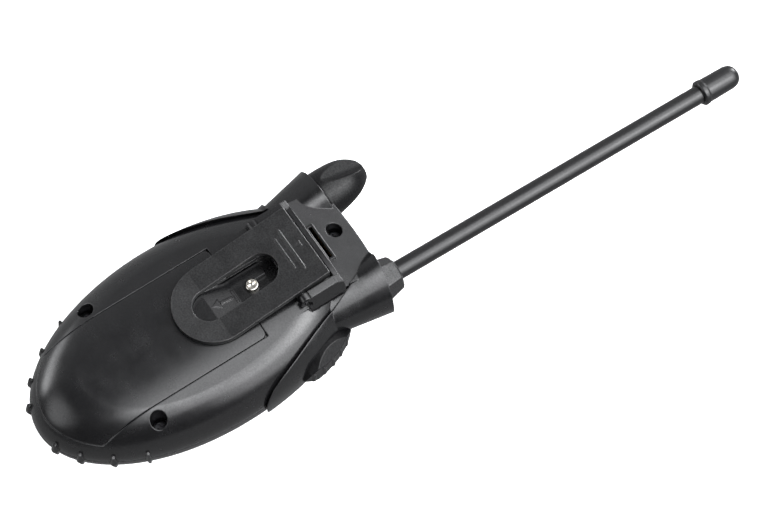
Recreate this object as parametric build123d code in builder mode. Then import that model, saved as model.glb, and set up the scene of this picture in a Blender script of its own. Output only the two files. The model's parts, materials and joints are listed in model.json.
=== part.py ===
"""A toy walkie talkie that lies face down: a pebble-shaped case in two shells, with a sprung belt clip,
a sliding battery door, a talk button, a volume knob, a rod antenna and the works inside.

Frame: the origin is the centre of the flat front face, which rests on z = 0. +Z points out of the back,
+Y towards the antenna, and +X is on the right when the back is seen with the antenna up.
Millimetres.
"""
import os
from math import atan2, cos, radians, sin, sqrt

from build123d import *

# ---- case ----
half_width = 35.5
half_length = 63.0
depth = 28.0
parting_z = 13.0
seam_gap = 0.35
front_flat = 0.6  # the flat faces as a share of the case's plan
back_flat = 0.7
dome_fullness = 0.667
front_fullness = 0.6
dome_steps = (0, 0.3, 0.55, 0.75, 0.9, 0.975, 1)
wall = 2.0
lip_inset = 1.1
lip_top = 15.0
lip_play = 0.1  # between the lip and its groove
gap = 0.2
far = 80.0  # past everything, for cuts that run right through

# ---- side arms, plan points of their seams from the leaf tip up ----
arm_rise = 1.1  # how far the arms stand out of the case
arm_base_z = 2.0
arm_reach = 45.0
arm_seam = ((37.5, 3.6), (34.4, 10.2), (31.6, 18.5), (27.9, 28.2), (22.9, 40.8))
right_seam_end = ((18.4, 52.0), (15.2, 58.4), (13.4, 68.0))
left_seam_end = (22.0, 44.0)

# ---- beads along the lower rim, each with its x and its radius ----
beads_at = ((8.5, 1.6), (16.3, 1.6), (23.5, 1.6), (28.8, 1.1))
bead_half = 4.2
bead_tip_radius = 0.6

# ---- head and turrets ----
end_y = 65.0
end_radius = 130.0
end_wall = 3.5
block_y = (30.0, 48.0, 50.0, 68.0)  # root, turn of the back face, turn of the front face, end
block_z = (3.0, 8.0, 21.4)  # front face, front face at the end, back face at the end
left_turret_x = -18.8
right_turret_x = 19.6
turret_z = 16.2
turret_y = 62.8
turret_root = 38.0  # length of a turret along its axis
knob_tilt = 3.0
antenna_tilt = -1.5
left_turret_radius = 11.2
right_turret_radius = 10.8
turret_root_radius = 5.0
past_end = 4.0  # how far the right turret runs on before the end wall trims it

# ---- battery door ----
door_half_width = 19.2
door_top_y = 17.5
door_edge_z = 21.0
door_thickness = 1.8
door_gap = 0.3
tongue_half_width = 6.5
tongue_end_y = 30.0
tongue_z = 25.2
tongue_thickness = 1.6
ramp_start_y = 7.0
door_screw_y = 23.6

# ---- battery ----
battery_size = (26.5, 46.0, 17.5)
battery_y = -44.0
battery_z = 5.6
tray_wall = 1.3
tray_top_z = 26.0
connector_room = 6.0

# ---- belt clip ----
clip_half_width = 14.5
clip_thickness = 2.2
clip_top = (46.0, 36.5)  # y and z of the outer face at the push end
clip_crease = (7.0, 30.8)
clip_tip_y = -6.0
clip_slot_half_width = 5.9
clip_slot = (0.9, 33.6)
pivot = (35.0, 30.4)
axle_radius = 1.2
running = 0.05
bracket_inner = 15.0
bracket_outer = 17.8
bracket_flare = 2.2
bracket_foot_z = 26.0
bracket_top_z = 33.0
bracket_end_y = 49.2
lanyard_x = (-6.5, 7.0)
lanyard_y = (50.6, 52.0)
lanyard_frame = 0.9
lanyard_top = 27.9

# ---- talk button ----
talk_angle = 20.0
talk_y = 33.0
talk_half_length = 12.4
talk_half_height = 6.2
talk_depth = 5.5  # how far the button reaches into the case
talk_flange = (27.0, 8.6)
talk_rib_radius = 1.15

# ---- call button ----
call_y = 47.2
call_radius = 4.2

# ---- fasteners ----
case_screw_places = [(-23.7, -28.5), (23.7, -28.5), (-2.2, 58.6)]
well_radius = 2.9
well_floor = 16.5
boss_radius = 4.3
shank_radius = 1.25
front_post_top = 13.9
thread_play = 0.02
board_screw_radius = 0.9
board_screw_places = [(-15.5, 12.6), (15.5, 12.6), (-9.0, 43.5), (9.0, 43.5)]

# ---- electronics ----
board_z = 11.5
board_thickness = 1.6
board_top = board_z + board_thickness + 0.05
speaker_y = 26.5
speaker_radius = 15.5
lead_x = 5.0
lead_z = 14.5
lead_radius = 0.6
thin_lead_radius = 0.5
grille_radius = 13.0
grille_pitch = 3.8
grille_slot = 1.6

# ---- knob and antenna sizes ----
knob_radius = 9.1
knob_length = 19.6
knob_dent_radius = 5.6
knob_dents = (100, 220, 340)
shaft_radius = 2.5
sleeve_radius = 3.4
core_radius = 1.2
collar_radius = 8.2
collar_height = 7.3
sleeve_length = 137.0
cap_start = 136.4
cap_length = 16.6
cap_radius = 4.8
cap_bore = 11.0

parts = {}


def finish(name, piece):
    """Labels a piece and keeps it for export."""
    piece.label = name
    parts[name] = piece


def end_arc_y(x, inset=0.0):
    """Where the curved top end wall is at a given x."""
    return end_y - inset - end_radius + sqrt(end_radius**2 - x**2)


def axis_plane(x, y, tilt):
    """A level plane whose local y runs along a tilted turret axis."""
    a = radians(tilt)
    return Plane(origin=(x, y, turret_z), x_dir=(cos(a), sin(a), 0), z_dir=(0, 0, 1))


knob_plane = axis_plane(left_turret_x, turret_y, knob_tilt)
antenna_plane = axis_plane(right_turret_x, turret_y, antenna_tilt)
knob_axis = Axis(knob_plane.origin, knob_plane.y_dir)
antenna_axis = Axis(antenna_plane.origin, antenna_plane.y_dir)


def half_case(z_flat, flat, grow):
    """One dome of the case, from the parting line to its flat face, with its walls moved out by grow."""
    height = z_flat - parting_z
    height += grow if height > 0 else -grow
    with BuildPart() as dome:
        for t in dome_steps:
            if height > 0:
                spread = flat + (1 - flat) * (1 - t**2) ** dome_fullness
            else:
                spread = flat + (1 - flat) * (1 - t**3) ** front_fullness
            with BuildSketch(Plane.XY.offset(parting_z + t * height)):
                Ellipse(spread * half_width + grow, spread * half_length + grow)
        loft()
    return dome.part


def turret(plane, radius, grow, end):
    """One flaring turret, a cone along its axis, up to a distance past the plane's origin."""
    slope = (radius - turret_root_radius) / turret_root
    with BuildPart() as cone:
        with BuildSketch(plane):
            with BuildLine():
                Polyline(
                    (0, -turret_root),
                    (turret_root_radius + grow, -turret_root),
                    (radius + grow + end * slope, end),
                    (0, end),
                    close=True,
                )
            make_face()
        revolve(axis=Axis(plane.origin, plane.y_dir))
    return cone.part


def head(grow, end_inset):
    """The block and the right turret, trimmed by the curved end wall, and the square-ended left turret."""
    left = turret(knob_plane, left_turret_radius, grow, -end_inset)
    right = turret(antenna_plane, right_turret_radius, grow, past_end)
    with BuildPart() as block:
        with BuildSketch(Plane.YZ):
            with BuildLine():
                Polyline(
                    (block_y[0], block_z[0] - grow),
                    (block_y[2], block_z[0] - grow),
                    (block_y[3], block_z[1] - grow),
                    (block_y[3], block_z[2] + grow),
                    (block_y[1], depth + grow),
                    (block_y[0], depth + grow),
                    close=True,
                )
            make_face()
        extrude(amount=-left_turret_x, both=True)
        add(right)
        with BuildSketch(Plane.XY):
            with BuildLine():
                arc = ThreePointArc(
                    (-arm_reach, end_arc_y(arm_reach, end_inset)),
                    (0, end_y - end_inset),
                    (arm_reach, end_arc_y(arm_reach, end_inset)),
                )
                Polyline(arc @ 1, (arm_reach, 0), (-arm_reach, 0), arc @ 0)
            make_face()
        extrude(amount=far, both=True, mode=Mode.INTERSECT)
        add(left)
    return block.part


def hull(grow, end_inset=0.0):
    """Case body and head as one solid."""
    back = half_case(depth, back_flat, grow)
    front = half_case(0, front_flat, grow)
    top = head(grow, end_inset)
    with BuildPart() as whole:
        add(back)
        add(front)
        add(top)
    return whole.part


def arm_outline(side, clearance):
    """Plan outline of one side arm, from its leaf tip up; side is +1 right or -1 left."""
    seam = [(x - clearance, y) for x, y in arm_seam]
    seam[0] = (arm_seam[0][0] - clearance, arm_seam[0][1] - clearance)
    if side > 0:
        seam += [(x - clearance, y) for x, y in right_seam_end]
    else:
        seam.append((left_seam_end[0] - clearance, left_seam_end[1] + clearance))
    top = seam[-1][1]
    with BuildSketch(Plane.XY.offset(arm_base_z - clearance)) as outline:
        with BuildLine():
            curve = Spline(*[(side * x, y) for x, y in seam])
            corners = [(side * arm_reach, top), (side * arm_reach, seam[0][1])]
            Polyline(curve @ 1, *corners, curve @ 0)
        make_face()
    return outline.sketch


shell_outside = hull(0)
shell_inside = hull(-wall, end_wall)
lip_outside = hull(-lip_inset, end_wall - 1.0)
lip_groove = hull(lip_play - lip_inset, end_wall - 1.0 - lip_play)
arm_hull = hull(arm_rise)

arms = []
arm_spaces = []
for side in (1, -1):
    outline = arm_outline(side, 0)
    wider = arm_outline(side, gap)
    with BuildPart() as arm:
        extrude(outline, amount=far)
        add(arm_hull, mode=Mode.INTERSECT)
    arms.append(arm.part)
    with BuildPart() as space:
        extrude(wider, amount=far)
    arm_spaces.append(space.part)


def box(x, y, z):
    """A block between low and high values on each axis."""
    with BuildPart() as block:
        with BuildSketch(Plane.XY.offset(z[0])):
            with Locations(((x[0] + x[1]) / 2, (y[0] + y[1]) / 2)):
                Rectangle(x[1] - x[0], y[1] - y[0])
        extrude(amount=z[1] - z[0])
    return block.part


def slab(z_low, z_high):
    """A wide level slab, for splitting the case at the parting line."""
    return box((-far, far), (-far, far), (z_low, z_high))


with BuildPart() as lip_room:
    add(lip_groove)
    add(shell_inside, mode=Mode.SUBTRACT)
    add(slab(parting_z, lip_top + 0.3), mode=Mode.INTERSECT)
lip_space = lip_room.part


def bosses(places, z_low, z_high, radius):
    """Round posts, kept inside the case wall."""
    with BuildPart() as posts:
        with BuildSketch(Plane.XY.offset(z_low)):
            with Locations(*places):
                Circle(radius)
        extrude(amount=z_high - z_low)
        add(post_limit, mode=Mode.INTERSECT)
    return posts.part


with BuildPart() as beads:
    for x, radius in beads_at:
        y = -half_length * sqrt(1 - (x / half_width) ** 2)
        with Locations((x, y, parting_z + bead_half / 2), (-x, y, parting_z + bead_half / 2)):
            Cone(bottom_radius=radius, top_radius=bead_tip_radius, height=bead_half)
        with Locations((x, y, parting_z - bead_half / 2), (-x, y, parting_z - bead_half / 2)):
            Cone(bottom_radius=bead_tip_radius, top_radius=radius, height=bead_half)


post_limit = hull(-0.6, 1.0)


def disc(plane, radius, start, end):
    """A round bar along a plane's normal, between two distances from it."""
    with BuildPart() as bar:
        with BuildSketch(plane.offset(start)):
            Circle(radius)
        extrude(amount=end - start)
    return bar.part


def side_profile(points, half):
    """A part with an outline in Y and Z, as wide as twice half, centred on x = 0."""
    with BuildPart() as block:
        with BuildSketch(Plane.YZ):
            with BuildLine():
                Polyline(*points, close=True)
            make_face()
        extrude(amount=half, both=True)
    return block.part


def across(plane):
    """The plane square to a turret axis, with its normal along the axis."""
    return Plane(origin=plane.origin, x_dir=plane.x_dir, z_dir=plane.y_dir)


def cross_screw(x, y, seat_z, head_radius, head_height, shaft_radius, length):
    """A cross-recess screw that points down, with the underside of its head at seat_z."""
    top = seat_z + head_height
    with BuildPart() as screw:
        with BuildSketch(Plane.XY.offset(seat_z)):
            with Locations((x, y)):
                Circle(head_radius)
        extrude(amount=head_height)
        rim = screw.edges().filter_by(GeomType.CIRCLE).sort_by(Axis.Z)[-1]
        fillet(rim, 0.4 * head_height)
        with BuildSketch(Plane.XY.offset(seat_z)):
            with Locations((x, y)):
                Circle(shaft_radius)
        extrude(amount=-length)
        with BuildSketch(Plane.XY.offset(top)):
            with Locations((x, y)):
                Rectangle(1.3 * head_radius, 0.3 * head_radius)
                Rectangle(0.3 * head_radius, 1.3 * head_radius)
        extrude(amount=-0.6 * head_height, mode=Mode.SUBTRACT)
    return screw.part


def wire(points, radius):
    """A round wire along a smooth path."""
    with BuildPart() as lead:
        with BuildLine():
            path = Spline(*points)
        with BuildSketch(Plane(origin=path @ 0, z_dir=path % 0)):
            Circle(radius)
        sweep()
    return lead.part


knob_end = across(knob_plane)
antenna_end = across(antenna_plane)
pivot_plane = Plane(origin=(0, *pivot), z_dir=(1, 0, 0))

# ---- talk button opening and axis ----
talk_a = radians(talk_angle)
talk_out = Vector(cos(talk_a), sin(talk_a), 0)
talk_along = Vector(-sin(talk_a), cos(talk_a), 0)
talk_centre = Vector(half_width * sqrt(1 - (talk_y / half_length) ** 2), talk_y, parting_z)
talk_plane = Plane(origin=talk_centre, x_dir=talk_along, z_dir=talk_out)


def talk_lens(clearance, start, end):
    """The lens-shaped bar that the talk button and its opening share."""
    long_half = talk_half_length + clearance
    high_half = talk_half_height + clearance
    with BuildPart() as lens:
        with BuildSketch(talk_plane.offset(start)):
            with BuildLine():
                ThreePointArc((-long_half, 0), (0, high_half), (long_half, 0))
                ThreePointArc((long_half, 0), (0, -high_half), (-long_half, 0))
            make_face()
        extrude(amount=end - start)
    return lens.part


# ---- spaces shared by both shells ----
knob_recess = disc(knob_end, knob_radius + 0.4, -0.3, past_end)
knob_hole = disc(knob_end, shaft_radius + 0.3, -12, past_end)
collar_recess = disc(antenna_end, collar_radius + 0.5, -1.0, past_end)
core_hole = disc(antenna_end, core_radius + 0.15, -12, past_end)
talk_opening = talk_lens(0.25, -talk_depth - 2.5, 12)
with BuildPart() as talk_pocket:
    with BuildSketch(talk_plane.offset(-talk_depth - 2.5)):
        Rectangle(talk_flange[0] + 0.6, talk_flange[1] + 0.6)
    extrude(amount=3.8)
shared_spaces = (knob_recess, knob_hole, collar_recess, core_hole, talk_opening, talk_pocket.part)

# ---- back shell ----
hole_half = door_half_width + door_gap
door_hole = box((-hole_half, hole_half), (-far, door_top_y + door_gap), (door_edge_z - gap, far))
tray_plate = box(
    (-door_half_width - 1.4, door_half_width + 1.4),
    (-60, door_top_y + 1.1),
    (tray_top_z - 1.8, tray_top_z),
)
tray_limit = hull(-wall - 0.3, end_wall)
door_ledge_out = hull(-wall + 0.05, end_wall)
door_ledge_in = hull(-wall - 1.2, end_wall)
tray_half = battery_size[0] / 2 + 0.3
tray_y = (battery_y - 0.4, battery_y + battery_size[1] + connector_room)
tray_box = box(
    (-tray_half - tray_wall, tray_half + tray_wall),
    (tray_y[0] - tray_wall, tray_y[1] + tray_wall),
    (battery_z - tray_wall, tray_top_z),
)
tray_pocket = box((-tray_half, tray_half), tray_y, (battery_z - 0.1, far))
channel_half = tongue_half_width + 0.4
channel_floor = tongue_z - tongue_thickness - 0.25
channel_end_y = tongue_end_y + 4.0
channel = box((-channel_half, channel_half), (-far, channel_end_y), (channel_floor, far))
channel_trough = box(
    (-channel_half - 1.2, channel_half + 1.2),
    (tray_y[1], channel_end_y + 1.2),
    (channel_floor - 1.25, tray_top_z + 0.4),
)
bracket_section = [
    (bracket_inner, bracket_foot_z),
    (bracket_inner, bracket_top_z),
    (bracket_outer, bracket_top_z),
    (bracket_outer + bracket_flare, bracket_foot_z + 1.6),
    (bracket_outer + bracket_flare, bracket_foot_z),
]
knuckle_radius = bracket_top_z - pivot[1]
knuckle_width = 2.6

with BuildPart() as bracket:
    for side in (1, -1):
        with BuildSketch(Plane.XZ.offset(-bracket_end_y)):
            with BuildLine():
                Polyline(*[(side * x, z) for x, z in bracket_section], close=True)
            make_face()
    extrude(amount=bracket_end_y - pivot[0])
    add(
        side_profile(
            [
                (pivot[0], 0),
                (pivot[0], bracket_top_z - 0.5),
                (pivot[0] + 1.5, bracket_top_z),
                (bracket_end_y - 2.7, bracket_top_z),
                (bracket_end_y, bracket_top_z - 1.2),
                (bracket_end_y, 0),
            ],
            half_width,
        ),
        mode=Mode.INTERSECT,
    )
    bar_half = bracket_inner + 0.1
    bar_z = (bracket_foot_z, bracket_top_z - 0.9)
    add(box((-bar_half, bar_half), (clip_top[0] + 1.2, bracket_end_y), bar_z))
    for side in (1, -1):
        knuckle_plane = Plane(origin=(side * bracket_inner, *pivot), z_dir=(side, 0, 0))
        add(disc(knuckle_plane, knuckle_radius, 0, knuckle_width))
        nose = (side * bracket_inner, side * (bracket_inner + knuckle_width))
        add(box((min(nose), max(nose)), (pivot[0] - 1.8, pivot[0] + 0.5), (bracket_foot_z, pivot[1])))

lanyard_rim = box(
    (lanyard_x[0] - lanyard_frame, lanyard_x[1] + lanyard_frame),
    (lanyard_y[0] - lanyard_frame, lanyard_y[1] + lanyard_frame),
    (25.5, lanyard_top),
)
back_posts = bosses(case_screw_places, front_post_top + 0.1, depth, boss_radius)
door_screw_post = disc(Plane(origin=(0, door_screw_y, 0)), 3.2, 14.5, channel_floor - 1.15)

with BuildPart() as door_ledge:
    add(box((-19.6, 19.6), (-62, -40), (19.4, 26.0)))
    add(door_ledge_out, mode=Mode.INTERSECT)
    add(door_ledge_in, mode=Mode.SUBTRACT)
    add(tray_pocket, mode=Mode.SUBTRACT)

with BuildPart() as battery_tray:
    add(tray_plate)
    add(tray_box)
    add(channel_trough)
    add(tray_limit, mode=Mode.INTERSECT)
    add(tray_pocket, mode=Mode.SUBTRACT)

with BuildPart() as back_shell:
    add(shell_outside)
    add(beads.part)
    add(shell_inside, mode=Mode.SUBTRACT)
    add(door_hole, mode=Mode.SUBTRACT)
    add(slab(parting_z + seam_gap, far), mode=Mode.INTERSECT)
    add(door_ledge.part)
    add(battery_tray.part)
    add(back_posts)
    add(door_screw_post)
    add(lip_space, mode=Mode.SUBTRACT)
    add(channel, mode=Mode.SUBTRACT)
    add(bracket.part)
    for space in arm_spaces:
        add(space, mode=Mode.SUBTRACT)
    for x, y in case_screw_places:
        add(disc(Plane(origin=(x, y, 0)), well_radius, well_floor, far), mode=Mode.SUBTRACT)
        add(disc(Plane(origin=(x, y, 0)), shank_radius + 0.3, 0, far), mode=Mode.SUBTRACT)
    add(disc(Plane(origin=(0, door_screw_y, 0)), shank_radius + thread_play, 10, 26), mode=Mode.SUBTRACT)
    add(disc(pivot_plane, axle_radius + thread_play, -half_width, half_width), mode=Mode.SUBTRACT)
    add(lanyard_rim)
    add(box(lanyard_x, lanyard_y, (23, far)), mode=Mode.SUBTRACT)
    for space in shared_spaces:
        add(space, mode=Mode.SUBTRACT)
    for x in (-lead_x, lead_x):
        add(disc(Plane(origin=(x, 0, lead_z), z_dir=(0, 1, 0)), 1.2, 6, 12), mode=Mode.SUBTRACT)
finish("back_shell", back_shell.part)

# ---- front shell ----
with BuildPart() as lip:
    add(lip_outside)
    add(shell_inside, mode=Mode.SUBTRACT)
    add(slab(parting_z - 1.0, lip_top), mode=Mode.INTERSECT)

front_posts = bosses(case_screw_places, 0.8, front_post_top, 3.6)
board_posts = bosses(board_screw_places, 0.8, board_z - 0.05, 2.8)
grille_rows = range(-3, 4)

with BuildPart() as front_shell:
    add(shell_outside)
    add(beads.part)
    add(slab(-5, parting_z), mode=Mode.INTERSECT)
    for arm in arms:
        add(arm)
    add(shell_inside, mode=Mode.SUBTRACT)
    add(lip.part)
    add(front_posts)
    add(board_posts)
    add(disc(Plane(origin=(0, speaker_y, 0)), speaker_radius + 1.4, 1.0, 5.0))
    add(disc(Plane(origin=(0, speaker_y, 0)), speaker_radius + 0.2, 2.0, 9.0), mode=Mode.SUBTRACT)
    for row in grille_rows:
        offset_y = row * grille_pitch
        length = 2 * sqrt(grille_radius**2 - offset_y**2)
        with BuildSketch(Plane.XY.offset(-1)):
            with Locations((0, speaker_y + offset_y)):
                SlotOverall(length, grille_slot)
        extrude(amount=4, mode=Mode.SUBTRACT)
    with BuildSketch(Plane.XY.offset(-1)):
        with Locations((0, speaker_y)):
            Circle(grille_radius + 1.6)
            Circle(grille_radius + 0.9, mode=Mode.SUBTRACT)
    extrude(amount=1.5, mode=Mode.SUBTRACT)
    add(disc(Plane(origin=(0, call_y, 0)), call_radius + 1.2, -2, 1.8), mode=Mode.SUBTRACT)
    add(disc(Plane(origin=(0, call_y, 0)), call_radius + running, -2, 8), mode=Mode.SUBTRACT)
    for x, y in case_screw_places:
        add(disc(Plane(origin=(x, y, 0)), shank_radius + thread_play, 5.5, 20), mode=Mode.SUBTRACT)
    for x, y in board_screw_places:
        add(disc(Plane(origin=(x, y, 0)), board_screw_radius + thread_play, 5.0, 20), mode=Mode.SUBTRACT)
    for space in shared_spaces:
        add(space, mode=Mode.SUBTRACT)
finish("front_shell", front_shell.part)

# ---- battery door: a panel of the case's own surface with a tongue under the clip ----
ramp = [(door_top_y + 0.1, tongue_z), (door_top_y + 0.1, 30), (ramp_start_y, 30), (ramp_start_y, depth)]
tongue = [
    (tongue_end_y, tongue_z),
    (door_top_y, tongue_z),
    (ramp_start_y, depth),
    (ramp_start_y - 3.5, depth - door_thickness),
    (door_top_y - 2.0, tongue_z - tongue_thickness),
    (tongue_end_y, tongue_z - tongue_thickness),
]
ramp_angle = atan2(depth - tongue_z, door_top_y - ramp_start_y)
ramp_plane = Plane(
    origin=(0, ramp_start_y, depth), x_dir=(1, 0, 0), z_dir=(0, sin(ramp_angle), cos(ramp_angle))
)
door_inside = hull(-door_thickness)

with BuildPart() as battery_door:
    with BuildSketch(Plane.XY.offset(door_edge_z)):
        with Locations((0, (door_top_y - 80) / 2)):
            Rectangle(2 * door_half_width, door_top_y + 80)
        fillet(vertices().group_by(Axis.Y)[-1], 2.0)
    extrude(amount=20)
    add(shell_outside, mode=Mode.INTERSECT)
    add(door_inside, mode=Mode.SUBTRACT)
    add(side_profile(ramp, tongue_half_width), mode=Mode.SUBTRACT)
    add(side_profile(tongue, tongue_half_width))
    with BuildSketch(Plane.XY.offset(20)):
        with Locations((0, door_screw_y)):
            Circle(shank_radius + 0.35)
        with Locations((0, door_screw_y + 5)):
            Rectangle(2 * shank_radius + 0.7, 10)
    extrude(amount=8, mode=Mode.SUBTRACT)
    with BuildSketch(ramp_plane.offset(-0.2)):
        with Locations((0, 2.8)):
            Triangle(a=3.6, b=3.6, c=3.6, rotation=180)
        with Locations((0, 6.4)):
            Rectangle(1.1, 4.8)
        with Locations((0, 10.0)):
            Rectangle(5.0, 0.8)
    extrude(amount=0.45)
finish("battery_door", battery_door.part)

finish("door_screw", cross_screw(0, door_screw_y, tongue_z + 0.1, 2.4, 1.5, shank_radius, 9.0))

with BuildPart() as case_screws:
    for x, y in case_screw_places:
        add(cross_screw(x, y, well_floor + 0.02, 2.5, 1.6, shank_radius, 10.5))
finish("case_screws", case_screws.part)

# ---- belt clip ----
clip_slot_length = clip_slot[1] - clip_slot[0]
clip_fall = (clip_top[1] - clip_crease[1]) / (clip_top[0] - clip_crease[0])
clip_outer = [clip_top, clip_crease, (clip_tip_y - 1, clip_crease[1])]
clip_inner = [(y, z - clip_thickness) for y, z in reversed(clip_outer)]
skirt = [
    (pivot[0] - 2.3, pivot[1] + 0.4),
    (pivot[0] - 2.3, 34.4),
    (clip_top[0], clip_top[1] - 0.5),
    (clip_top[0], 32.9),
    (pivot[0] + 2.0, pivot[1] - 0.9),
]
clip_plane = Plane(origin=(0, *clip_top), x_dir=(1, 0, 0), z_dir=(0, -clip_fall, 1))

with BuildPart() as clip_skirts:
    add(side_profile(skirt, clip_half_width))
    add(disc(pivot_plane, 2.2, -clip_half_width, clip_half_width))
    add(box((-12.6, 12.6), (25, 50), (20, 40)), mode=Mode.SUBTRACT)

with BuildPart() as belt_clip:
    with BuildSketch(Plane.XY.offset(26)):
        with Locations((0, (clip_top[0] + clip_tip_y + clip_half_width) / 2)):
            Rectangle(2 * clip_half_width, clip_top[0] - clip_tip_y - clip_half_width)
        with Locations((0, clip_tip_y + clip_half_width)):
            Circle(clip_half_width)
        with Locations((0, sum(clip_slot) / 2)):
            SlotOverall(clip_slot_length, 2 * clip_slot_half_width, rotation=90, mode=Mode.SUBTRACT)
    extrude(amount=14)
    add(side_profile(clip_outer + clip_inner, 20), mode=Mode.INTERSECT)
    add(clip_skirts.part)
    add(disc(pivot_plane, axle_radius + running, -half_width, half_width), mode=Mode.SUBTRACT)
    with BuildSketch(clip_plane.offset(-0.2)):
        with Locations((0, -3.0)):
            Triangle(a=2.4, b=2.4, c=2.4, rotation=180)
        with Locations((0, -6.0)):
            SlotOverall(17.0, 0.8)
        with Locations((0, -8.8)):
            SlotOverall(13.0, 0.8)
    extrude(amount=0.4)
finish("belt_clip", belt_clip.part)

axle_half = bracket_outer - 0.6
finish("clip_axle", disc(pivot_plane, axle_radius, -axle_half, axle_half))

coil_radius = 1.72
coil_wire = 0.3
with BuildPart() as clip_spring:
    with BuildLine():
        coil = Helix(
            pitch=0.8, height=6.4, radius=coil_radius, center=(-11.0, *pivot), direction=(1, 0, 0)
        )
    with BuildSketch(Plane(origin=coil @ 0, z_dir=coil % 0)):
        Circle(coil_wire)
    sweep(is_frenet=True)
finish("clip_spring", clip_spring.part)

# ---- talk button ----
with BuildPart() as talk_crown:
    with BuildSketch(Plane.XY.offset(parting_z - 8)):
        with BuildLine():
            crown_line = Spline((34.8, 20.0), (35.7, 27.0), (34.7, 33.5), (32.2, 39.5), (27.6, 46.0))
            Polyline(crown_line @ 1, (10, 46.0), (10, 20.0), crown_line @ 0)
        make_face()
    extrude(amount=16)
    with BuildSketch(Plane(origin=talk_centre, x_dir=talk_out, z_dir=talk_along)):
        with BuildLine():
            Polyline((-10, -7), (0.4, -7), (4.6, -2.8), (4.6, 2.8), (0.4, 7), (-10, 7), close=True)
        make_face()
    extrude(amount=20, both=True, mode=Mode.INTERSECT)

talk_body = talk_lens(0, -talk_depth, 10)
with BuildPart() as talk_button:
    add(talk_body)
    add(talk_crown.part, mode=Mode.INTERSECT)
    with BuildSketch(Plane.XY.offset(parting_z - 2.8)):
        for step in range(5):
            with Locations(crown_line @ (0.2 + 0.15 * step) - talk_out * 0.75):
                Circle(talk_rib_radius)
    extrude(amount=5.6)
    with BuildSketch(talk_plane.offset(-talk_depth)):
        Rectangle(*talk_flange)
    extrude(amount=1.2)
finish("talk_button", talk_button.part)

switch_plane = Plane(origin=talk_centre + Vector(0, 0, 2.4), x_dir=talk_along, z_dir=talk_out)
with BuildPart() as talk_switch:
    with BuildSketch(switch_plane.offset(-14)):
        Rectangle(8, 4.2)
    extrude(amount=5)
    with BuildSketch(switch_plane.offset(-9)):
        Circle(1.4)
    extrude(amount=1.8)
finish("talk_switch", talk_switch.part)

# ---- volume knob, its shaft and potentiometer ----
with BuildPart() as volume_knob:
    with BuildSketch(knob_plane):
        with BuildLine():
            Polyline((0, 0), (knob_radius - 0.3, 0), (knob_radius, 1.0))
            Spline(
                (knob_radius, 1.0),
                (knob_radius - 0.4, 8.5),
                (7.3, 14.0),
                (4.6, 17.9),
                (0, knob_length),
                tangents=[(0, 1), (-1, 0)],
            )
            Line((0, knob_length), (0, 0))
        make_face()
    revolve(axis=knob_axis)
    dent_lean = radians(20)
    for turn in knob_dents:
        a = radians(turn)
        radial = knob_plane.x_dir * cos(a) + knob_plane.z_dir * sin(a)
        lean = knob_plane.y_dir * cos(dent_lean) - radial * sin(dent_lean)
        base = knob_plane.origin + radial * (knob_dent_radius + knob_radius - 0.2) + knob_plane.y_dir * 4.0
        with BuildSketch(Plane(origin=base, z_dir=lean).offset(-10)):
            Circle(knob_dent_radius)
        extrude(amount=40, mode=Mode.SUBTRACT)
    with BuildSketch(knob_end):
        Circle(shaft_radius + 0.02)
    extrude(amount=9.0, mode=Mode.SUBTRACT)
finish("volume_knob", volume_knob.part)

finish("volume_shaft", disc(knob_end, shaft_radius, -9.0, 8.9))

with BuildPart() as volume_potentiometer:
    with BuildSketch(knob_end.offset(-11.5)):
        Circle(6.0)
    extrude(amount=6.5)
    with BuildSketch(knob_end.offset(-5.0)):
        Circle(3.4)
    extrude(amount=0.9)
    with BuildSketch(knob_end.offset(-9.5)):
        Circle(shaft_radius + running)
    extrude(amount=8, mode=Mode.SUBTRACT)
finish("volume_potentiometer", volume_potentiometer.part)

# ---- antenna ----
with BuildPart() as antenna_collar:
    with BuildSketch(antenna_end.offset(-0.9)):
        RegularPolygon(radius=collar_radius, side_count=6, rotation=15)
        fillet(vertices(), 1.0)
    extrude(amount=collar_height, taper=13)
    extrude(antenna_collar.faces().sort_by(Axis.Y)[-1], amount=0.7, taper=45)
    with BuildSketch(antenna_end.offset(1.2)):
        Circle(sleeve_radius + 0.03)
    extrude(amount=10, mode=Mode.SUBTRACT)
    with BuildSketch(antenna_end.offset(-2)):
        Circle(core_radius + 0.1)
    extrude(amount=10, mode=Mode.SUBTRACT)
finish("antenna_collar", antenna_collar.part)

with BuildPart() as antenna_sleeve:
    with BuildSketch(antenna_end.offset(1.25)):
        Circle(sleeve_radius)
        Circle(core_radius + 0.1, mode=Mode.SUBTRACT)
    extrude(amount=sleeve_length)
finish("antenna_sleeve", antenna_sleeve.part)

with BuildPart() as antenna_cap:
    with BuildSketch(antenna_plane):
        with BuildLine():
            Polyline(
                (0, cap_start),
                (cap_radius - 0.5, cap_start),
                (cap_radius, cap_start + 0.5),
                (cap_radius, cap_start + 1.8),
                (cap_radius - 0.25, cap_start + 2.6),
                (cap_radius - 0.4, cap_start + cap_length - 4.2),
            )
            Spline(
                (cap_radius - 0.4, cap_start + cap_length - 4.2),
                (3.2, cap_start + cap_length - 1.1),
                (0, cap_start + cap_length),
                tangents=[(-0.05, 1), (-1, 0)],
            )
            Line((0, cap_start + cap_length), (0, cap_start))
        make_face()
    revolve(axis=antenna_axis)
    with BuildSketch(antenna_end.offset(cap_start - 1)):
        Circle(sleeve_radius + 0.03)
    extrude(amount=1 + cap_bore, mode=Mode.SUBTRACT)
    with BuildSketch(antenna_end.offset(cap_start + 1)):
        Circle(core_radius + 0.1)
    extrude(amount=cap_bore, mode=Mode.SUBTRACT)
finish("antenna_cap", antenna_cap.part)

finish("antenna_core", disc(antenna_end, core_radius, -4.2, sleeve_length + 2.0))

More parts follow.
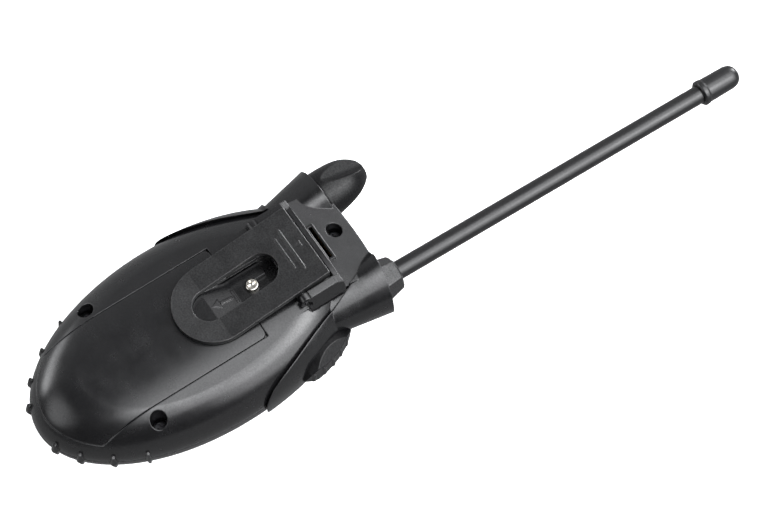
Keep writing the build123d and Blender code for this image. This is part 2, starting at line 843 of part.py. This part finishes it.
with BuildPart() as loading_coil:
    with BuildSketch(antenna_end.offset(-12)):
        Circle(3.4)
    extrude(amount=7.6)
    for turn in range(8):
        with BuildSketch(antenna_end.offset(-11.2 + 0.8 * turn)):
            Circle(4)
            Circle(3.1, mode=Mode.SUBTRACT)
        extrude(amount=0.4, mode=Mode.SUBTRACT)
finish("loading_coil", loading_coil.part)

# ---- circuit board and what stands on it ----
board_limit = hull(-wall - 0.6, end_wall)
with BuildPart() as circuit_board:
    add(box((-19.5, 19.5), (tray_y[1] + tray_wall + 0.4, 49.5), (board_z, board_z + board_thickness)))
    add(board_limit, mode=Mode.INTERSECT)
    add(talk_pocket.part, mode=Mode.SUBTRACT)
    for x, y in board_screw_places:
        add(disc(Plane(origin=(x, y, 0)), 1.1, 5, 20), mode=Mode.SUBTRACT)
finish("circuit_board", circuit_board.part)

with BuildPart() as board_screws:
    for x, y in board_screw_places:
        add(cross_screw(x, y, board_top, 2.0, 1.2, board_screw_radius, 7.5))
finish("board_screws", board_screws.part)

with BuildPart() as tuning_coils:
    for y in (18.0, 27.0):
        with BuildSketch(Plane.XY.offset(board_top)):
            with Locations((12.0, y)):
                RectangleRounded(7, 7, 0.6)
        extrude(amount=7.5)
        with BuildSketch(Plane.XY.offset(board_top + 6.7)):
            with Locations((12.0, y)):
                Circle(1.6)
        extrude(amount=1, mode=Mode.SUBTRACT)
finish("tuning_coils", tuning_coils.part)

with BuildPart() as crystal:
    with BuildSketch(Plane.XY.offset(board_top)):
        with Locations((-12.0, 35.0)):
            SlotOverall(10.6, 4.4)
    extrude(amount=3.6)
finish("crystal", crystal.part)

# x, y, radius and height
capacitor_cans = ((-10.5, 19.0, 2.5, 7.0), (-16.5, 20.0, 2.5, 6.0), (-11.0, 26.5, 3.0, 7.5))
with BuildPart() as capacitors:
    for x, y, radius, height in capacitor_cans:
        with BuildSketch(Plane.XY.offset(board_top)):
            with Locations((x, y)):
                Circle(radius)
        extrude(amount=height)
finish("capacitors", capacitors.part)

with BuildPart() as audio_chip:
    with BuildSketch(Plane.XY.offset(board_top + 0.4)):
        with Locations((1.0, 38.5)):
            Rectangle(10, 6.2)
    extrude(amount=3.0)
    with BuildSketch(Plane.XY.offset(board_top)):
        for row in (-3.6, 3.6):
            with Locations((1.0, 38.5 + row)):
                with GridLocations(2.4, 1, 4, 1):
                    Rectangle(0.8, 1.2)
    extrude(amount=2.0)
finish("audio_chip", audio_chip.part)

# ---- speaker ----
speaker_plane = Plane(origin=(0, speaker_y, 0))
finish("speaker_cloth", disc(speaker_plane, speaker_radius - 0.3, 2.05, 2.4))

with BuildPart() as speaker_frame:
    with BuildSketch(Plane.XZ.offset(-speaker_y)):
        with BuildLine():
            Polyline(
                (speaker_radius, 2.5),
                (speaker_radius, 3.7),
                (13.6, 3.7),
                (9.4, 7.0),
                (6.4, 7.0),
                (6.4, 6.2),
                (9.0, 6.3),
                (13.2, 3.15),
                (13.2, 2.5),
                close=True,
            )
        make_face()
    revolve(axis=Axis((0, speaker_y, 0), (0, 0, 1)))
finish("speaker_frame", speaker_frame.part)

with BuildPart() as speaker_cone:
    with BuildSketch(Plane.XZ.offset(-speaker_y)):
        with BuildLine():
            edge = [(12.9, 2.6), (12.0, 3.0), (4.4, 5.3), (0, 4.3)]
            back = [(x, z + 0.4) for x, z in reversed(edge)]
            Polyline(*edge, *back, close=True)
        make_face()
    revolve(axis=Axis((0, speaker_y, 0), (0, 0, 1)))
finish("speaker_cone", speaker_cone.part)

finish("speaker_magnet", disc(speaker_plane, 7.0, 7.05, 9.6))

# ---- call button and its switch ----
call_plane = Plane(origin=(0, call_y, 0))
with BuildPart() as call_button:
    with BuildSketch(call_plane.offset(0.9)):
        Circle(call_radius)
    extrude(amount=4.5)
    fillet(call_button.edges().filter_by(GeomType.CIRCLE).sort_by(Axis.Z)[0], 0.5)
    with BuildSketch(call_plane.offset(5.2)):
        Circle(call_radius + 1.0)
    extrude(amount=1.0)
    with BuildSketch(call_plane.offset(6.2)):
        Circle(2.0)
    extrude(amount=1.9)
finish("call_button", call_button.part)

with BuildPart() as call_switch:
    with BuildSketch(call_plane.offset(9.4)):
        Rectangle(6, 6)
    extrude(amount=board_z - 0.05 - 9.4)
    with BuildSketch(call_plane.offset(9.0)):
        Circle(1.6)
    extrude(amount=0.4)
finish("call_switch", call_switch.part)

# ---- battery, snap connector and wires ----
battery_end = battery_y + battery_size[1]
battery_mid = battery_z + battery_size[2] / 2
with BuildPart() as battery:
    with BuildSketch(Plane.XZ.offset(-battery_end)):
        with Locations((0, battery_mid)):
            RectangleRounded(battery_size[0], battery_size[2], 2.0)
    extrude(amount=battery_size[1])
    with BuildSketch(Plane.XZ.offset(-battery_end)):
        with Locations((-6.35, battery_mid)):
            Circle(2.8)
        with Locations((6.35, battery_mid)):
            RegularPolygon(radius=3.8, side_count=6)
    extrude(amount=-2.4)
finish("battery", battery.part)

with BuildPart() as battery_snap:
    with BuildSketch(Plane.XZ.offset(-battery_end - 2.45)):
        with Locations((0, battery_mid)):
            SlotOverall(25.0, 12.0)
    extrude(amount=-2.0)
finish("battery_snap", battery_snap.part)

snap_y = battery_end + 4.5
for name, x in (("red_battery_lead", -lead_x), ("black_battery_lead", lead_x)):
    lead_points = [
        (x, snap_y, lead_z),
        (x, snap_y + 3, lead_z),
        (x, snap_y + 6, lead_z + 0.1),
        (x, snap_y + 8, board_top + lead_radius),
    ]
    finish(name, wire(lead_points, lead_radius))

with BuildPart() as speaker_leads:
    for x in (-2.5, 2.5):
        speaker_lead_points = [
            (x, speaker_y - 12.2, 6.4),
            (x, speaker_y - 11.4, 8.6),
            (x, speaker_y - 9.5, board_z - 0.6),
        ]
        add(wire(speaker_lead_points, thin_lead_radius))
finish("speaker_leads", speaker_leads.part)

antenna_lead_points = [(16.0, 50.9, 16.4), (15.4, 49.8, 16.0), (14.6, 47.4, board_top + 0.65)]
finish("antenna_lead", wire(antenna_lead_points, thin_lead_radius))

os.makedirs("parts", exist_ok=True)
for name, piece in parts.items():
    export_step(piece, f"parts/{name}.step")
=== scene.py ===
"""Looks for the toy walkie talkie: materials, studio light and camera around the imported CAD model."""
import json
import math

import bpy
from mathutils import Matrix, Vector


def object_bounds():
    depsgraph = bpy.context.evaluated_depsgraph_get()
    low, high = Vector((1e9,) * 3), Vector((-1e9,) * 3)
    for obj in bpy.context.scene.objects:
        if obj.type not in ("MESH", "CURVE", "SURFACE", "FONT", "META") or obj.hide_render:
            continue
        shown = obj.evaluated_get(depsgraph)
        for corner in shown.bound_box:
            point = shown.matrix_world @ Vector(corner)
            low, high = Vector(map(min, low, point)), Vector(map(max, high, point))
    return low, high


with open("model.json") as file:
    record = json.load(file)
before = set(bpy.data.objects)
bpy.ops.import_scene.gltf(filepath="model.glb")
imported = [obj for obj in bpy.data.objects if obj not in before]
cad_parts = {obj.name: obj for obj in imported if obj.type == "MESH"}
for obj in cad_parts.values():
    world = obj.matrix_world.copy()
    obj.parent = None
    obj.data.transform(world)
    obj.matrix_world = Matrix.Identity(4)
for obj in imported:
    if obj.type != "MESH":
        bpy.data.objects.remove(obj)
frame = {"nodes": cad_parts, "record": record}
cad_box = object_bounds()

MM = 0.001

# ---- moulded plastic ----
BLACK = (0.0046, 0.0046, 0.0050)
CLIP_BLACK = (0.0085, 0.0085, 0.0088)
GRIP_BLACK = (0.0036, 0.0036, 0.0039)
CROWN_REACH = 20 * MM
CROWN_LEAN = 560.0  # slope per square metre of distance from the middle line
EDGE_GLOSS = 0.6  # share of the roughness that edges lose
CLOUD_SIZE = 14 * MM  # faint patches of colour
WAVE_SIZE = 16 * MM  # the slight waviness of a moulded face
SMUDGE_SIZE = 7 * MM  # patches of gloss
WEAR_AND_SHEEN_SIZE = 3 * MM  # how the paleness of edges, partly wear and partly painted highlight, comes and goes
SPECKLE_SIZE = 0.5 * MM
GLINT_SIZE = 0.55 * MM
GRAIN_SIZE = 0.36 * MM

# ---- room ----
SKY_COLOUR = (0.97, 0.98, 1.0)
SKY_STRENGTH = 0.10
SOFTBOX_DISTANCE = 0.9
LIT_PLACE = Vector((0, 0, 0.02))  # the middle of the case, where the softboxes point
FLOOR_SIZE = 8.0
FLOOR_DROP = 0.02 * MM
FLOOR_BOUNCE = (0.16, 0.16, 0.16)  # its colour to the light that bounces off it
FLOOR_GLOW = 0.12  # how brightly the floor lights the underside

# Direction, half angles in degrees where the glow is full and where it ends, strength.
GLOWS = (
    ((0.30, 0.36, 0.88), 20, 36, 5.2),
    ((0.75, 0.40, 0.53), 14, 28, 4.6),
    ((0.47, -0.12, 0.87), 7, 19, 4.2),
    ((-0.78, -0.58, 0.24), 4, 13, 6.0),
    ((-0.91, -0.38, 0.18), 3, 11, 4.5),
    ((-0.33, 0.92, 0.21), 7, 14, 18.0),
    ((-0.25, -0.82, 0.51), 8, 22, 2.4),
    ((-0.95, 0.10, 0.30), 20, 60, 0.5),
    ((-0.33, 0.73, 0.60), 12, 30, 1.3),
)

# ---- camera ----
CAMERA_AZIMUTH = math.radians(56.0)
CAMERA_ELEVATION = math.radians(66.25)
CAMERA_DISTANCE = 0.770
CAMERA_TARGET = Vector((0.0163, 0.0653, 0.020))
LENS = 105.5
SENSOR = 36.0


# ---- material helpers ----
class Graph:
    """A small wrapper that adds and links shader nodes."""

    def __init__(self, name):
        self.material = bpy.data.materials.new(name)
        self.material.use_nodes = True
        self.tree = self.material.node_tree
        self.surface = self.tree.nodes["Principled BSDF"]
        self.coords = self.add("ShaderNodeTexCoord").outputs["Object"]

    def add(self, kind, **values):
        """Adds a node and sets its inputs, or its properties, by name."""
        node = self.tree.nodes.new(kind)
        for key, value in values.items():
            if key in node.inputs:
                node.inputs[key].default_value = value
            else:
                setattr(node, key, value)
        return node

    def link(self, out, into):
        self.tree.links.new(out, into)

    def feed(self, name, value):
        """Links a socket, or sets a plain value, on an input of the surface."""
        if isinstance(value, float):
            self.surface.inputs[name].default_value = value
        else:
            self.link(value, self.surface.inputs[name])

    def noise(self, size, detail=3.0, roughness=0.55):
        """Noise whose features are about size metres across."""
        node = self.add("ShaderNodeTexNoise", Scale=1.0 / size, Detail=detail, Roughness=roughness)
        self.link(self.coords, node.inputs["Vector"])
        return node.outputs["Fac"]

    def spread(self, value, low, high, start=0.0, end=1.0):
        """Maps a value from start..end to low..high."""
        node = self.add("ShaderNodeMapRange")
        for key, number in (("From Min", start), ("From Max", end), ("To Min", low), ("To Max", high)):
            node.inputs[key].default_value = number
        self.link(value, node.inputs["Value"])
        return node.outputs["Result"]

    def maths(self, operation, first, second):
        """Joins two values, each a plain number or a socket."""
        node = self.add("ShaderNodeMath", operation=operation)
        for socket, value in zip(node.inputs, (first, second)):
            if isinstance(value, float):
                socket.default_value = value
            else:
                self.link(value, socket)
        return node.outputs[0]

    def mix(self, factor, first, second):
        """Blends two colours, each a plain tuple or a socket."""
        node = self.add("ShaderNodeMix", data_type="RGBA")
        self.link(factor, node.inputs["Factor"])
        for socket, value in ((node.inputs[6], first), (node.inputs[7], second)):
            if isinstance(value, tuple):
                socket.default_value = (*value, 1.0)
            else:
                self.link(value, socket)
        return node.outputs[2]

    def rounded(self, radius):
        """A normal that rounds edges, and a mask that is 1 on them and 0 on open faces."""
        bevel = self.add("ShaderNodeBevel", samples=6)
        bevel.inputs["Radius"].default_value = radius
        geometry = self.add("ShaderNodeNewGeometry")
        dot = self.add("ShaderNodeVectorMath", operation="DOT_PRODUCT")
        self.link(bevel.outputs["Normal"], dot.inputs[0])
        self.link(geometry.outputs["Normal"], dot.inputs[1])
        return bevel.outputs["Normal"], self.spread(dot.outputs["Value"], 1.0, 0.0, 0.80, 0.985)

    def crowned(self, normal):
        """Leans the normal outwards across the broad flat back, as on a slightly crowned panel."""
        place = self.add("ShaderNodeSeparateXYZ")
        self.link(self.coords, place.inputs[0])
        x = self.maths("MAXIMUM", self.maths("MINIMUM", place.outputs["X"], CROWN_REACH), -CROWN_REACH)
        lean = self.maths("MULTIPLY", self.maths("MULTIPLY", x, self.maths("ABSOLUTE", x, 0.0)), CROWN_LEAN)
        facing = self.add("ShaderNodeSeparateXYZ")
        self.link(self.add("ShaderNodeNewGeometry").outputs["Normal"], facing.inputs[0])
        flat = self.spread(facing.outputs["Z"], 0.0, 1.0, 0.86, 0.995)
        sideways = self.add("ShaderNodeCombineXYZ")
        self.link(self.maths("MULTIPLY", lean, flat), sideways.inputs[0])
        total = self.add("ShaderNodeVectorMath", operation="ADD")
        self.link(normal, total.inputs[0])
        self.link(sideways.outputs[0], total.inputs[1])
        unit = self.add("ShaderNodeVectorMath", operation="NORMALIZE")
        self.link(total.outputs[0], unit.inputs[0])
        return unit.outputs[0]

    def bump(self, heights, normal=None):
        """Chains bumps given as (value, strength, depth in metres)."""
        for value, strength, depth in heights:
            node = self.add("ShaderNodeBump", Strength=strength, Distance=depth)
            self.link(value, node.inputs["Height"])
            if normal is not None:
                self.link(normal, node.inputs["Normal"])
            normal = node.outputs["Normal"]
        self.feed("Normal", normal)


def scaled(colour, factor, lift=0.0):
    """A colour made lighter or darker, then lifted towards white."""
    return tuple(min(1.0, c * factor + lift) for c in colour)


def moulded_plastic(
    name, colour, roughness, grain=0.12, edge=0.45 * MM, edge_lift=0.02, crown=False, shine=0.5
):
    """Moulded plastic: fine speckled grain, uneven gloss, and edges rounder, glossier and paler, the
    paleness partly wear and partly a painted highlight.
    """
    shader = Graph(name)
    normal, edges = shader.rounded(edge)
    if crown:
        normal = shader.crowned(normal)
    cloud = shader.noise(CLOUD_SIZE, 4.0)
    fine = shader.noise(GRAIN_SIZE, 0.0)
    patchy = shader.spread(shader.noise(WEAR_AND_SHEEN_SIZE, 5.0), 0.2, 1.0, 0.35, 0.65)
    wear_and_edge_sheen = shader.maths("MULTIPLY", edges, patchy)
    speckle = shader.spread(shader.noise(SPECKLE_SIZE, 2.0), 0.0, 1.0, 0.38, 0.62)
    mottle = shader.maths("MULTIPLY", cloud, speckle)
    body = shader.mix(mottle, scaled(colour, 0.8), scaled(colour, 2.0))
    # Edges are painted paler: partly wear, partly a painted highlight along the rounded edges.
    shader.feed("Base Color", shader.mix(wear_and_edge_sheen, body, scaled(colour, 2.0, edge_lift)))
    smudge = shader.noise(SMUDGE_SIZE, 5.0, 0.6)
    gloss = shader.spread(smudge, roughness - 0.04, roughness + 0.05, 0.3, 0.7)
    polished = shader.maths("MULTIPLY", edges, EDGE_GLOSS * roughness)
    shader.feed("Roughness", shader.maths("SUBTRACT", gloss, polished))
    glint = shader.spread(shader.noise(GLINT_SIZE, 1.0), (1 - grain) * shine, (1 + grain) * shine, 0.3, 0.7)
    shader.feed("Specular IOR Level", glint)
    wave = shader.noise(WAVE_SIZE, 1.0)
    shader.bump([(fine, grain, 0.02 * MM), (wave, 0.03, 0.3 * MM)], normal)
    return shader.material


def metal(name, colour, roughness, grain=0.15 * MM):
    """Plated or bare metal with fine uneven polish."""
    shader = Graph(name)
    normal, edges = shader.rounded(0.12 * MM)
    fine = shader.noise(grain, 4.0)
    tint = shader.mix(shader.noise(2 * MM), scaled(colour, 0.78), colour)
    shader.feed("Base Color", shader.mix(edges, tint, scaled(colour, 1.15)))
    shader.feed("Metallic", 1.0)
    shader.feed("Roughness", shader.spread(fine, roughness * 0.8, roughness * 1.3))
    shader.bump([(fine, 0.08, 0.02 * MM)], normal)
    return shader.material


def woven(name, colour, pitch=0.5 * MM):
    """Thin woven dust cloth or pressed fibre."""
    shader = Graph(name)
    density = 1 / pitch / math.tau
    threads = []
    for direction in ("X", "Y"):
        wave = shader.add("ShaderNodeTexWave", Scale=density, Distortion=0.6, bands_direction=direction)
        shader.link(shader.coords, wave.inputs["Vector"])
        threads.append(wave.outputs["Fac"])
    weave = shader.maths("MULTIPLY", *threads)
    shader.feed("Base Color", shader.mix(weave, scaled(colour, 0.6), colour))
    shader.feed("Roughness", 0.85)
    shader.bump([(weave, 0.5, 0.1 * MM)])
    return shader.material


def laminate(name):
    """Brown paper laminate of a cheap circuit board, with paler fibres."""
    shader = Graph(name)
    fibre = shader.noise(0.8 * MM, 6.0, 0.7)
    shader.feed("Base Color", shader.mix(fibre, (0.16, 0.09, 0.03), (0.30, 0.19, 0.07)))
    shader.feed("Roughness", shader.spread(fibre, 0.35, 0.6))
    shader.bump([(fibre, 0.1, 0.05 * MM)])
    return shader.material


# ---- a material for every piece ----
finishes = {
    "case_plastic": moulded_plastic("case_plastic", BLACK, 0.24, edge=0.5 * MM, crown=True),
    # The clip's edges are painted paler still, a painted highlight along its outline as well as wear.
    "clip_plastic": moulded_plastic("clip_plastic", CLIP_BLACK, 0.34, grain=0.3, edge_lift=0.05),
    "soft_black": moulded_plastic("soft_black", BLACK, 0.33, grain=0.08),
    "nickel_steel": metal("nickel_steel", (0.80, 0.77, 0.70), 0.20),
    "dark_steel": metal("dark_steel", (0.045, 0.045, 0.048), 0.40),
    "spring_steel": metal("spring_steel", (0.55, 0.55, 0.56), 0.28),
    "copper_wire": metal("copper_wire", (0.72, 0.32, 0.14), 0.30),
    "board_laminate": laminate("board_laminate"),
    "component_black": moulded_plastic("component_black", (0.02, 0.02, 0.02), 0.5),
    "component_blue": moulded_plastic("component_blue", (0.02, 0.05, 0.2), 0.25),
    "can_metal": metal("can_metal", (0.75, 0.76, 0.77), 0.25),
    "magnet_grey": metal("magnet_grey", (0.20, 0.20, 0.21), 0.55),
    "cone_paper": woven("cone_paper", (0.05, 0.045, 0.04), 0.8 * MM),
    "cloth_black": woven("cloth_black", (0.02, 0.02, 0.02)),
    "battery_jacket": moulded_plastic("battery_jacket", (0.03, 0.035, 0.05), 0.3),
    "wire_red": moulded_plastic("wire_red", (0.45, 0.02, 0.015), 0.4),
    "wire_black": moulded_plastic("wire_black", (0.015, 0.015, 0.015), 0.4),
}

grip = moulded_plastic("grip", GRIP_BLACK, 0.36, grain=0.3, shine=0.22)
own_finish = {"volume_knob": grip, "talk_button": grip}

for subpart in frame["record"]["subparts"]:
    mesh = frame["nodes"][subpart["node"]].data
    mesh.materials.clear()
    mesh.materials.append(own_finish.get(subpart["node"], finishes[subpart["material_slot"]]))


# ---- floor, light and camera ----
def white_floor():
    """A plain table that blows out to paper white where the camera sees it."""
    bpy.ops.mesh.primitive_plane_add(size=FLOOR_SIZE, location=(0, 0, cad_box[0].z - FLOOR_DROP))
    floor = bpy.context.object
    floor.name = "floor"
    shader = Graph("floor_white")
    tone = shader.mix(shader.noise(0.4), (0.80, 0.80, 0.80), (0.84, 0.84, 0.84))
    seen = shader.add("ShaderNodeLightPath").outputs["Is Camera Ray"]
    shader.feed("Base Color", shader.mix(seen, FLOOR_BOUNCE, tone))
    shader.feed("Emission Color", tone)
    shader.feed("Emission Strength", shader.spread(seen, FLOOR_GLOW, 1.0))
    shader.feed("Roughness", 0.95)
    floor.data.materials.append(shader.material)


def glow(tree, coords, direction, full, end, strength):
    """The brightness of one soft round glow."""
    dot = tree.nodes.new("ShaderNodeVectorMath")
    dot.operation = "DOT_PRODUCT"
    dot.inputs[1].default_value = Vector(direction).normalized()
    tree.links.new(coords, dot.inputs[0])
    fade = tree.nodes.new("ShaderNodeMapRange")
    fade.interpolation_type = "SMOOTHSTEP"
    fade.inputs["From Min"].default_value = math.cos(math.radians(end))
    fade.inputs["From Max"].default_value = math.cos(math.radians(full))
    fade.inputs["To Max"].default_value = strength
    tree.links.new(dot.outputs["Value"], fade.inputs["Value"])
    return fade.outputs["Result"]


def studio_sky():
    """A dim room with soft round glows where the lamps' reflectors hang."""
    world = bpy.data.worlds.new("studio")
    bpy.context.scene.world = world
    world.use_nodes = True
    tree = world.node_tree
    sky = tree.nodes["Background"]
    sky.inputs["Color"].default_value = (*SKY_COLOUR, 1)
    coords = tree.nodes.new("ShaderNodeTexCoord").outputs["Generated"]
    total = None
    for place in GLOWS:
        plus = tree.nodes.new("ShaderNodeMath")
        plus.operation = "ADD"
        tree.links.new(glow(tree, coords, *place), plus.inputs[0])
        if total is None:
            plus.inputs[1].default_value = SKY_STRENGTH
        else:
            tree.links.new(total, plus.inputs[1])
        total = plus.outputs[0]
    seen = tree.nodes.new("ShaderNodeLightPath").outputs["Is Camera Ray"]
    white = tree.nodes.new("ShaderNodeMix")
    tree.links.new(seen, white.inputs["Factor"])
    tree.links.new(total, white.inputs[2])
    white.inputs[3].default_value = 1.0
    tree.links.new(white.outputs[0], sky.inputs["Strength"])


def softbox(name, direction, side, power):
    """A square area light that faces the middle of the case."""
    light = bpy.data.lights.new(name, "AREA")
    light.shape = "RECTANGLE"
    light.size = side
    light.size_y = side
    light.energy = power
    lamp = bpy.data.objects.new(name, light)
    bpy.context.scene.collection.objects.link(lamp)
    away = Vector(direction).normalized()
    lamp.location = LIT_PLACE + away * SOFTBOX_DISTANCE
    lamp.rotation_euler = (-away).to_track_quat("-Z", "Y").to_euler()


def camera():
    """The viewpoint: high over the talk-button side, with a long lens."""
    level = math.cos(CAMERA_ELEVATION)
    east = math.sin(CAMERA_AZIMUTH) * level
    south = math.cos(CAMERA_AZIMUTH) * level
    back = Vector((east, -south, math.sin(CAMERA_ELEVATION)))
    lens = bpy.data.cameras.new("camera")
    lens.sensor_width = SENSOR
    lens.lens = LENS
    eye = bpy.data.objects.new("camera", lens)
    bpy.context.scene.collection.objects.link(eye)
    eye.location = CAMERA_TARGET + back * CAMERA_DISTANCE
    eye.rotation_mode = "QUATERNION"
    eye.rotation_quaternion = (-back).to_track_quat("-Z", "Y")
    bpy.context.scene.camera = eye


white_floor()
studio_sky()
softbox("right_softbox", (0.46, 0.56, 0.68), 0.26, 1.2)
softbox("end_softbox", (-0.74, -0.60, 0.30), 0.20, 0.15)
camera()
bpy.context.scene.view_settings.view_transform = "Standard"
